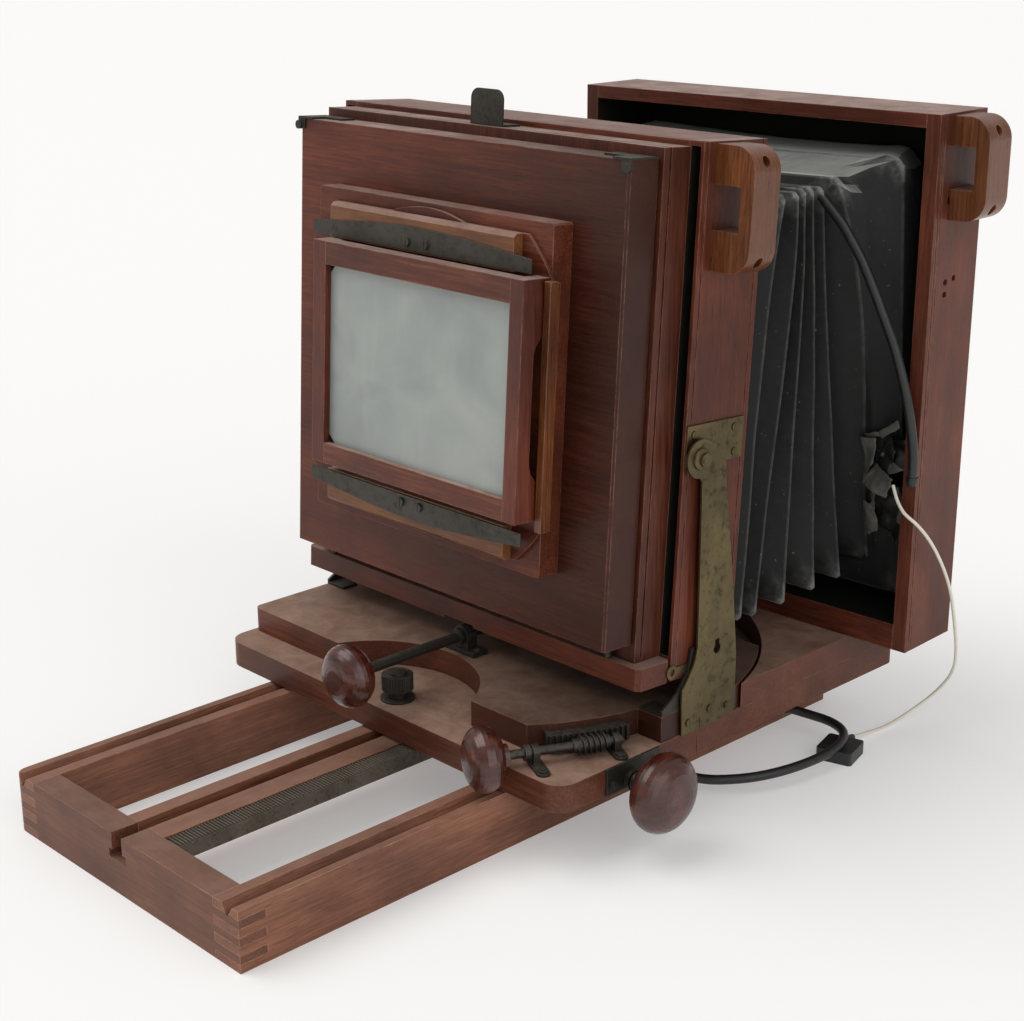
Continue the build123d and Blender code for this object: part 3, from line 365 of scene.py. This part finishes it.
# table top darker towards +x: painted shade
TABLE = wood("mahogany_table", "X", TABLE_MAHOGANY, dust=0.8, wear=0.6, seed=3.7,
             dust_colour=(0.40, 0.27, 0.20), shade=(0, 0.04, 0.22, 0.6))
BOARD = wood("mahogany_board", "X", BOARD_MAHOGANY, dust=0.8, wear=0.6, seed=4.9,
             dust_colour=(0.41, 0.27, 0.20))
BED = wood("mahogany_bed", "Y", BED_BROWN, dust=0.5, wear=0.95, seed=5.2, dust_colour=BED_DUST)
BED_END = wood("mahogany_bed_end", "X", BED_END_BROWN, dust=0.5, wear=0.95, seed=6.4, dust_colour=BED_DUST)
GLASS_RAILS = wood("mahogany_glass_frame", "X", FRAME_RED, dust=0.9, wear=1.0, seed=7.9, rough=(0.28, 0.48),
                   spec=0.35)
GLASS_STILES = wood("mahogany_glass_stile", "Z", STILE_RED, dust=0.9, wear=0.9, seed=8.3, rough=(0.28, 0.48),
                    spec=0.35)
ORANGE_RAIL = wood("orange_rail", "X", ORANGE, dust=0.8, wear=0.9, seed=9.1, spec=0.4)
GRIP = wood("orange_grip", "Z", GRIP_ORANGE, dust=0.3, wear=0.7, seed=10.6, rough=(0.22, 0.40), spec=0.5)
# black paint, also used as painted shade for the inside of the front box and a narrow gap in the rear frame
BLACK_PAINT_AND_SHADE = plain("black_paint_and_painted_shade", (0.006, 0.0055, 0.005), (0.014, 0.012, 0.010), (0.6, 0.8), 80, spec=0.15)
KNOB = knob_wood("knob_wood")
BRASS = metal("aged_brass", BRASS_YELLOW, BRASS_BROWN, rough=(0.34, 0.56), patches=0.8, scale=26)
LENS_BRASS = metal("polished_brass", (0.50, 0.37, 0.16), (0.20, 0.14, 0.07), rough=(0.22, 0.42), patches=0.5,
                   scale=50)
IRON = metal("dark_iron", (0.060, 0.054, 0.046), (0.026, 0.021, 0.017), rough=(0.34, 0.56), patches=0.7,
             metallic=0.8, edge_gain=2.2, up_dust=0.3)
SPRING = metal("spring_steel", (0.070, 0.064, 0.054), (0.036, 0.031, 0.026), rough=(0.36, 0.55), patches=0.5,
               metallic=0.7, edge_gain=2.0, scale=30)
RACK = metal("rack_metal", (0.17, 0.145, 0.115), (0.05, 0.038, 0.028), rough=(0.4, 0.65), patches=0.7,
             metallic=0.8, edge_gain=1.8, up_dust=0.25)
CLOTH = cloth("bellows_cloth")
RUBBER = plain("black_rubber", (0.008, 0.008, 0.0083), (0.022, 0.0215, 0.021), (0.32, 0.5), 160,
               bump_strength=0.15)
TAPE = plain("old_tape", (0.105, 0.105, 0.089), (0.18, 0.177, 0.15), (0.35, 0.6), 120, bump_strength=0.3)
DARKTAPE = plain("black_tape", (0.012, 0.012, 0.012), (0.035, 0.035, 0.032), (0.3, 0.5), 120,
                 bump_strength=0.3)
WIRE = plain("cream_wire", (0.72, 0.66, 0.55), (0.80, 0.76, 0.68), (0.35, 0.5), 200)
PLASTIC = plain("black_plastic", (0.014, 0.014, 0.014), (0.03, 0.03, 0.03), (0.38, 0.55), 260)
GLASS = frosted()
LENS = lens_glass()

PAINT = {
    PLAIN_X: "rear_frame_rails rear_ledge raised_square revolving_disc",
    PANEL: "back_panel",
    PLAIN_Z: "rear_frame_sides",
    MIDDLE: "middle_frame lens_board",
    BOX: "front_box_sides",
    TABLE: "swing_table",
    BOARD: "base_board front_platform carriage_runners",
    BED: "bed_side_rails bed_center_rail",
    BED_END: "bed_cross_near bed_cross_far",
    GLASS_RAILS: "glass_frame_rails",
    GLASS_STILES: "glass_frame_stiles",
    ORANGE_RAIL: "disc_rails",
    GRIP: "disc_guides rear_grips front_grips",
    BRASS: "tilt_arms pivot_plates pivot_nuts table_screws swing_pivot tilt_nut",
    LENS_BRASS: "lens_barrel lens_flange",
    IRON: "clamp_nut pinion_bearings board_fasteners worm_brackets clamp_screw pinion_shaft worm_shaft "
          "swing_rack arm_brackets tilt_bearing tilt_shaft panel_fittings top_catch hose_unions",
    SPRING: "back_springs",
    RACK: "focus_rack",
    KNOB: "focus_knob swing_knob tilt_knob",
    CLOTH: "bellows",
    RUBBER: "floor_hose hanging_tube tube_end_cap",
    WIRE: "white_wire",
    PLASTIC: "connector_block",
    GLASS: "ground_glass",
    LENS: "lens_glasses",
    FRONT_RAILS: "front_box_rails front_panel",
}
for material, names in PAINT.items():
    for name in names.split():
        data = NODES[name].data
        data.materials.clear()
        data.materials.append(material)


def paint_black_and_shade(name, inside):
    """Black on the faces that look into a space, given by a test on a point just off the face: black paint
    inside the rear frame, painted shade inside the front box and in the narrow gap beside the middle frame.
    """
    data = NODES[name].data
    data.materials.append(BLACK_PAINT_AND_SHADE)
    for p in data.polygons:
        if inside(p.center + p.normal * 0.002):
            p.material_index = 1


# painted shade: the inside of the front box is wood in shade, drawn black
def in_shaded_front_box(p):
    x, y = p.x, p.y - FRONT_PIVOT_Y * MM
    square_x = (x * cos(FRONT_YAW) + y * sin(FRONT_YAW)) / MM
    square_y = (y * cos(FRONT_YAW) - x * sin(FRONT_YAW)) / MM + FRONT_PIVOT_Y
    return -97 < square_x < 277 and 219 < square_y < 289 and 130 < p.z / MM < 590


def in_rear_frame(p):
    x, y, z = p.x / MM, p.y / MM, p.z / MM - TILT_AXIS_Z
    upright_y = y * cos(REAR_LEAN) + z * sin(REAR_LEAN)
    upright_z = z * cos(REAR_LEAN) - y * sin(REAR_LEAN) + TILT_AXIS_Z
    outer = abs(x) < 208.5 and -11 < upright_y < 68 and 148 < upright_z < 575
    middle = abs(x) < 189.5 and -44 < upright_y < -10 and 180 < upright_z < 560
    # painted shade: the face in the narrow deep gap beside the middle frame is drawn black
    shaded_gap = 211 < abs(x) < 222 and -12 < upright_y < 10
    return outer or middle or shaded_gap


# painted shade inside the front box; black paint and painted shade in the rear frame
for name in ("front_box_sides", "front_box_rails", "front_panel"):
    paint_black_and_shade(name, in_shaded_front_box)
for name in ("rear_frame_sides", "rear_frame_rails", "middle_frame"):
    paint_black_and_shade(name, in_rear_frame)


# ---------------------------------------------------------------- helpers for pieces
def add(name, mesh_or_curve, material, body=None, smooth=True):
    o = bpy.data.objects.new(name, mesh_or_curve)
    bpy.context.scene.collection.objects.link(o)
    mesh_or_curve.materials.append(material)
    if smooth and hasattr(mesh_or_curve, "polygons"):
        for p in mesh_or_curve.polygons:
            p.use_smooth = True
    if body:
        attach(o, body)
    return o


def from_bm(name, bm, material, body=None, smooth=True):
    bmesh.ops.recalc_face_normals(bm, faces=bm.faces[:])
    me = bpy.data.meshes.new(name)
    bm.to_mesh(me)
    bm.free()
    return add(name, me, material, body, smooth)


# ---------------------------------------------------------------- cords
def cord_curve(name, points, radius_mm, material):
    """Smooth round cord through points in mm."""
    cu = bpy.data.curves.new(name, "CURVE")
    cu.dimensions = "3D"
    cu.bevel_depth = radius_mm * MM
    cu.bevel_resolution = 6
    cu.resolution_u = 12
    cu.use_fill_caps = True
    sp = cu.splines.new("NURBS")
    sp.points.add(len(points) - 1)
    for p, q in zip(sp.points, points):
        p.co = (q[0] * MM, q[1] * MM, q[2] * MM, 1)
    sp.order_u = 3
    sp.use_endpoint_u = True
    return add(name, cu, material, smooth=False)


FLOOR_HOSE = [(181, 15, 24), (194, 25, 18), (209, 36.6, 13.5), (226, 49, 13.5), (249.8, 76.1, 16),
              (263.2, 117.4, 17.3), (266, 166.6, 17.5), (252.9, 202.9, 17.5), (228.8, 215, 18.5),
              (201.2, 205.5, 22), (188.4, 198, 25)]
HANGING_TUBE = [(203, 187, 525.5), (213, 190.5, 514), (223.8, 193.8, 501.5), (230.5, 196, 490.6),
                (239.6, 199, 475.6), (249.4, 202, 456), (263.6, 208, 420.6), (273.2, 212, 396.3),
                (281, 216, 367.9), (286.6, 218, 345.6), (291.2, 220.5, 318.3), (293.8, 222, 296),
                (293.6, 222, 279)]
WHITE_WIRE = [(272.3, 224, 266.4), (277.8, 222, 255.7), (284, 220, 249), (290.6, 219, 243.2),
              (299.5, 224, 236), (303.5, 240, 219), (304, 262, 192), (303, 284, 158),
              (302.6, 296, 122), (301, 306, 90), (293, 318, 64), (276, 333, 40), (261, 330, 19.5),
              (252.5, 304, 7), (250, 273, 2.2), (247, 246, 3.2), (246.5, 222, 6.5)]


hose = cord_curve("floor_hose_rubber", FLOOR_HOSE, 4.5, RUBBER)
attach(hose, "carriage")
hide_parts("floor_hose")
tube = cord_curve("hanging_tube_rubber", HANGING_TUBE, 4.5, RUBBER)
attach(tube, "carriage")
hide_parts("hanging_tube")
wire = cord_curve("white_wire_pair", WHITE_WIRE, 1.6, WIRE)
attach(wire, "carriage")
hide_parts("white_wire")


# ---------------------------------------------------------------- bellows
# each ring, in mm: left x, right x, top z, bottom z, y at the top, y at the bottom, 1 on a ridge or 0 in a
# valley, how far it bows along y, how far its right edge bows out
RINGS = [
    (-205, 205, 541, 149, 78.5, 57, 0, 0, 0),
    (-188, 189, 522, 170, 106, 76, 0, -3, 0),
    (-204, 206, 532, 150, 133, 94, 1, -5, 0),
    (-182, 186, 514, 171, 143, 104, 0, 0, 0),
    (-203, 207, 533, 149, 151, 114, 1, 8, 0),
    (-178, 184, 514, 171, 156, 137, 0, 6, 0),
    (-190, 207, 535, 149, 160.5, 157, 1, 5, 0),
    (-166, 184, 515, 171, 166, 180, 0, 4, 0),
    (-172, 207, 535, 151, 171, 202, 1, 3, 0),
    (-150, 184, 515, 172, 178, 221, 0, 1, 0),
    (-152, 208, 534, 153, 184, 241, 1, -1, 0),
    (-130, 186, 516, 173, 191, 262, 0, 2, 0),
    (-132, 211, 541, 156, 199, 283, 1, 6, 13),
    (-106, 224, 540, 165, 216, 272, 0, 2, 4),
    (-90, 255, 557, 140, 235, 278, 1, 0, 0),
    (-86, 244, 562, 134, 281, 290, 0, 0, 0),
]


RIDGE_INDEX = 6
STEPS_PER_SIDE = 22
STEPS_PER_CORNER = 2
CLOTH_THICKNESS = 0.0012


def ring_points(ring):
    """Points round one ring, in metres, each with how near it is to a right-hand corner of a ridge."""
    xl, xr, zt, zb, yt, yb, ridge, bow, out = ring
    c = 4 + 9 * (1 - ridge)
    corners = [(xl + c, zt), (xr - c, zt), (xr, zt - c), (xr, zb + c), (xr - c, zb), (xl + c, zb),
               (xl, zb + c), (xl, zt - c)]
    points = []
    for k, (a, b) in enumerate(zip(corners, corners[1:] + corners[:1])):
        n = STEPS_PER_SIDE if k % 2 == 0 else STEPS_PER_CORNER
        for i in range(n):
            t = i / n
            x = a[0] + (b[0] - a[0]) * t
            z = a[1] + (b[1] - a[1]) * t
            s = (z - zb) / (zt - zb)
            hump = 6.75 * s * s * (1 - s)
            y = yb + (yt - yb) * s + bow * hump
            sag = sin(pi * t) if k % 2 == 0 else 0
            if k == 0:
                z -= 3.5 * sag
                z += 9 * max(0, (x - xr + 46) / 46) ** 2 * (1 if yt > 230 else 0)
            elif k == 2:
                x += out * hump - 1.5 * sag
            elif k == 4:
                z -= 1.5 * sag
            elif k == 6:
                x += 3.0 * sag
            w = noise.noise(Vector((x, y, z)) * 0.018 + Vector((0, 0, yt * 0.05)))
            y += w * 1.4
            near = max(0.0, 1 - (Vector((x, z)) - Vector((xr, zt))).length / 16)
            near = max(near, 1 - (Vector((x, z)) - Vector((xr, zb))).length / 12)
            points.append((Vector((x, y, z)) * MM, near * ridge))
    return points


def bellows_part(name, first, last):
    """Cloth through the rings from first to last."""
    bm = bmesh.new()
    ridges = bm.verts.layers.float.new("ridge")
    bright = bm.verts.layers.float.new("corner")
    loops = []
    chosen = RINGS[first:last + 1]
    dense = []
    for i, ring in enumerate(chosen):
        dense.append(ring)
        if i + 1 < len(chosen):
            for t in (0.10, 0.5, 0.90):
                mixed = [u + (v - u) * t for u, v in zip(ring, chosen[i + 1])]
                mixed[RIDGE_INDEX] = (max(0, 1 - t / 0.2) * ring[RIDGE_INDEX]
                                      + max(0, 1 - (1 - t) / 0.2) * chosen[i + 1][RIDGE_INDEX])
                dense.append(tuple(mixed))
    for ring in dense:
        verts = []
        for p, near in ring_points(ring):
            v = bm.verts.new(p)
            v[ridges] = ring[RIDGE_INDEX]
            v[bright] = near
            verts.append(v)
        loops.append(verts)
    n = len(loops[0])
    for p, q in zip(loops, loops[1:]):
        for k in range(n):
            bm.faces.new((p[k], p[(k + 1) % n], q[(k + 1) % n], q[k]))
    o = from_bm(name, bm, CLOTH)
    solid = o.modifiers.new("thickness", "SOLIDIFY")
    solid.thickness = CLOTH_THICKNESS
    solid.offset = -1
    with bpy.context.temp_override(object=o, active_object=o, selected_objects=[o]):
        bpy.ops.object.modifier_apply(modifier="thickness")
    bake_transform(o)
    return o


bellows_part("bellows_rear", 0, 5)
bellows_part("bellows_middle", 5, 9)
front_part = bellows_part("bellows_front", 9, 15)
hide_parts("bellows")


# ---------------------------------------------------------------- torn tape where the wire comes out
FLAP_STEPS = 14
TAPE_THICKNESS = 0.0005


def flap(name, corners, material, crumple, seed):
    """Crumpled piece of tape between four corners in mm, with a torn outline."""
    steps = FLAP_STEPS
    a, b, c, d = (Vector(p) for p in corners)
    normal = (b - a).cross(d - a).normalized()
    bm = bmesh.new()
    grid = []
    for i in range(steps + 1):
        row = []
        for j in range(steps + 1):
            u, v = i / steps, j / steps
            p = (a * (1 - u) + b * u) * (1 - v) + (d * (1 - u) + c * u) * v
            fold = noise.noise(p * 0.05 + Vector((seed, 0, 0)))
            fine = noise.noise(p * 0.13 + Vector((0, seed, 0)))
            crease = abs(noise.noise(p * 0.035 + Vector((0, 0, seed))))
            p = p + normal * crumple * (fold + 0.35 * fine - 1.6 * crease)
            edge = min(u, v, 1 - u, 1 - v)
            if edge < 0.01:
                p += (b - a).normalized() * noise.noise(p * 0.6) * 1.2 + (d - a).normalized() * fine * 1.2
            row.append(bm.verts.new(p * MM))
        grid.append(row)
    for i in range(steps):
        for j in range(steps):
            bm.faces.new((grid[i][j], grid[i + 1][j], grid[i + 1][j + 1], grid[i][j + 1]))
    o = from_bm(name, bm, material, "front_box")
    solid = o.modifiers.new("thickness", "SOLIDIFY")
    solid.thickness = TAPE_THICKNESS
    with bpy.context.temp_override(object=o, active_object=o, selected_objects=[o]):
        bpy.ops.object.modifier_apply(modifier="thickness")
    return o


# name, four corners in mm, material, depth of the crumples in mm, seed
FLAPS = [
    ("tape_edge", [(219.3, 252, 298.6), (244, 247, 307.3), (244.2, 247, 303), (221.8, 252, 294.5)],
     TAPE, 2, 1.0),
    ("tape_bright", [(240.7, 246, 306.7), (264.5, 240, 323.1), (267.2, 240, 317), (244.2, 246, 301)],
     TAPE, 3, 2.0),
    ("tape_left", [(217, 252, 295.8), (236.8, 246, 299.1), (238.5, 246, 275.3), (222.4, 250, 254.3)],
     TAPE, 4, 3.0),
    ("tape_diamond", [(223.1, 246, 253.4), (237.6, 244, 275.6), (270.4, 230, 269.9), (256.5, 236, 247.6)],
     TAPE, 4, 4.0),
    ("tape_dark", [(243.8, 250, 296.8), (271.3, 244, 305.3), (275.3, 242, 277.4), (244.7, 248, 266.3)],
     DARKTAPE, 6, 5.0),
    ("tape_tail", [(234.5, 246, 256), (243.8, 244, 256.6), (241.6, 246, 231), (235.6, 248, 230.1)],
     TAPE, 5, 6.0),
    ("tape_strip", [(218.5, 258, 234.2), (235.2, 254, 231.1), (238.8, 256, 206.7), (223.9, 260, 199)],
     TAPE, 4, 7.0),
    ("tape_right", [(259.7, 248, 248.1), (268.9, 246, 247.8), (269.2, 248, 221), (262.1, 250, 222.7)],
     TAPE, 4, 8.0),
    ("tape_ridge", [(250.4, 242, 275.3), (267, 238, 283.6), (281.9, 229, 281.1), (260.9, 238, 270.3)],
     TAPE, 4, 9.0),
    ("tape_crumple", [(254.1, 246, 304.6), (271.1, 240, 294.1), (259.2, 242, 273.9), (245.6, 246, 284.6)],
     DARKTAPE, 7, 10.0),
    ("tape_under", [(222, 254, 262), (272, 246, 262), (270, 250, 205), (226, 262, 212)],
     DARKTAPE, 7, 11.0),
]
for values in FLAPS:
    flap(*values)


# ---------------------------------------------------------------- stage, light, camera
FLOOR_COLOUR = (0.76, 0.755, 0.745, 1)
FLOOR_GLOW = 0.27
WORLD_LIGHT = 0.45
CAMERA_LENS = 65.14
CAMERA_PLACE = Vector((1.1890, -1.1415, 0.7771))
CAMERA_TARGET = Vector((0.16413, -0.15355, 0.30423))
CAMERA_ROLL = radians(-0.172)


def floor_material():
    m, nt, b = new_material("studio_floor")
    b.inputs["Base Color"].default_value = FLOOR_COLOUR
    b.inputs["Roughness"].default_value = 0.75
    b.inputs["Specular IOR Level"].default_value = 0.2
    b.inputs["Emission Color"].default_value = (1, 1, 1, 1)
    b.inputs["Emission Strength"].default_value = FLOOR_GLOW
    return m


bm = bmesh.new()
bmesh.ops.create_grid(bm, x_segments=2, y_segments=2, size=40)
floor = from_bm("studio_floor", bm, floor_material(), smooth=False)


def sun(name, origin, strength, angle, colour=(1, 1, 1)):
    """Sun that shines from a direction towards the object, as soft as its angle in degrees."""
    light = bpy.data.lights.new(name, "SUN")
    light.energy = strength
    light.angle = radians(angle)
    light.color = colour
    o = bpy.data.objects.new(name, light)
    bpy.context.scene.collection.objects.link(o)
    o.location = origin
    o.rotation_euler = (-Vector(origin)).to_track_quat("-Z", "Y").to_euler()
    return o


sun("key", (-1.0, -0.9, 2.2), 1.35, 50, (1, 0.985, 0.96))
sun("side", (2.2, -0.5, 1.0), 0.85, 60)
scene = bpy.context.scene
world = bpy.data.worlds.new("studio")
scene.world = world
world.use_nodes = True
world.node_tree.nodes["Background"].inputs[0].default_value = (1, 1, 1, 1)
world.node_tree.nodes["Background"].inputs[1].default_value = WORLD_LIGHT
scene.view_settings.view_transform = "Standard"
scene.view_settings.look = "None"

cam_data = bpy.data.cameras.new("camera")
cam_data.sensor_fit = "HORIZONTAL"
cam_data.sensor_width = 36
cam_data.lens = CAMERA_LENS
cam_data.clip_end = 200
cam = bpy.data.objects.new("camera", cam_data)
scene.collection.objects.link(cam)
aim = (CAMERA_TARGET - CAMERA_PLACE).to_track_quat("-Z", "Y").to_matrix().to_4x4()
cam.matrix_world = Matrix.Translation(CAMERA_PLACE) @ aim @ Matrix.Rotation(CAMERA_ROLL, 4, "Z")
scene.camera = cam
